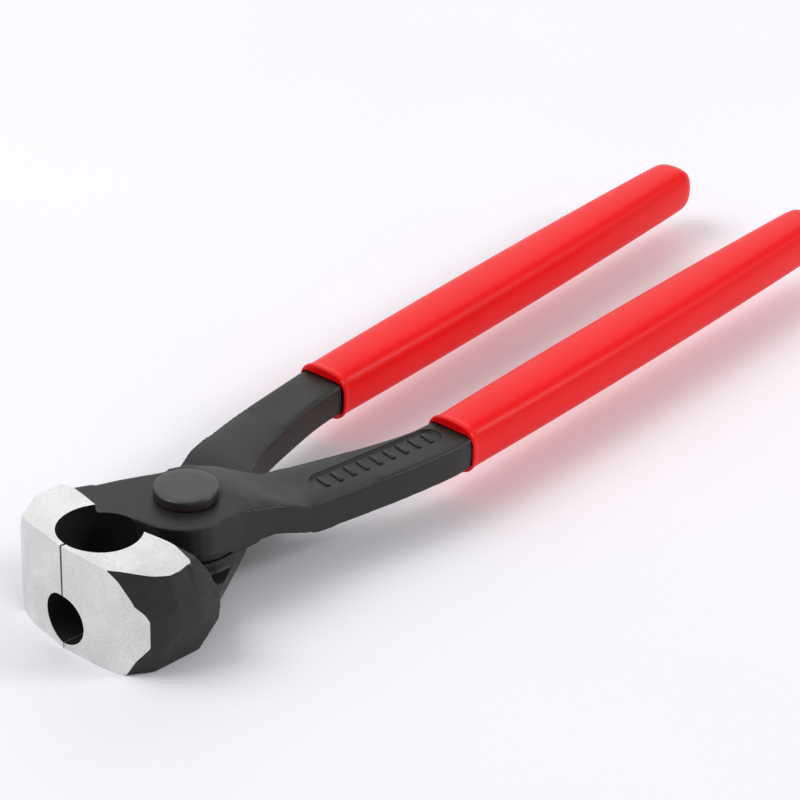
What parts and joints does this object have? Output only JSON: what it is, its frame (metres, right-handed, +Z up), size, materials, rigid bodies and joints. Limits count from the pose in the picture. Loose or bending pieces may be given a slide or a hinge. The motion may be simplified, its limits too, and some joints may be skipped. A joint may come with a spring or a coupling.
{
  "type": "end-crimping pincers",
  "caption": "Hand pincers with a broad ground nose, a round mouth behind the lips, a small hole through the nose, one rivet pivot and two dipped grips.",
  "frame": {"origin": "under the middle of the shut tool's bounding box, at the level of the head's underside", "axes": "+X runs along the jaws' split from the nose towards the handles, +Z is up along the rivet, +Y is the side of the upper lever's jaw"},
  "size_m": [0.2302, 0.0662, 0.0244],
  "materials": {
    "forged_steel": "forged steel with a dark phosphate coat; the nose faces and the crown round the mouth are ground bright",
    "rivet_steel": "dark blued steel, flat turned head",
    "grip_vinyl": "red dip-moulded vinyl, satin gloss"
  },
  "bodies": {
    "lower_body": {"lower_lever": "forged_steel", "pivot_rivet": "rivet_steel", "far_grip": "grip_vinyl"},
    "upper_body": {"upper_lever": "forged_steel", "near_grip": "grip_vinyl"}
  },
  "joints": [
    {"name": "jaw_hinge", "type": "hinge", "parent": "lower_body", "child": "upper_body", "pos_m": [-0.08242, -0.01083, 0.0123], "axis": [0, 0, -1], "range_deg": [0, 45]}
  ]
}
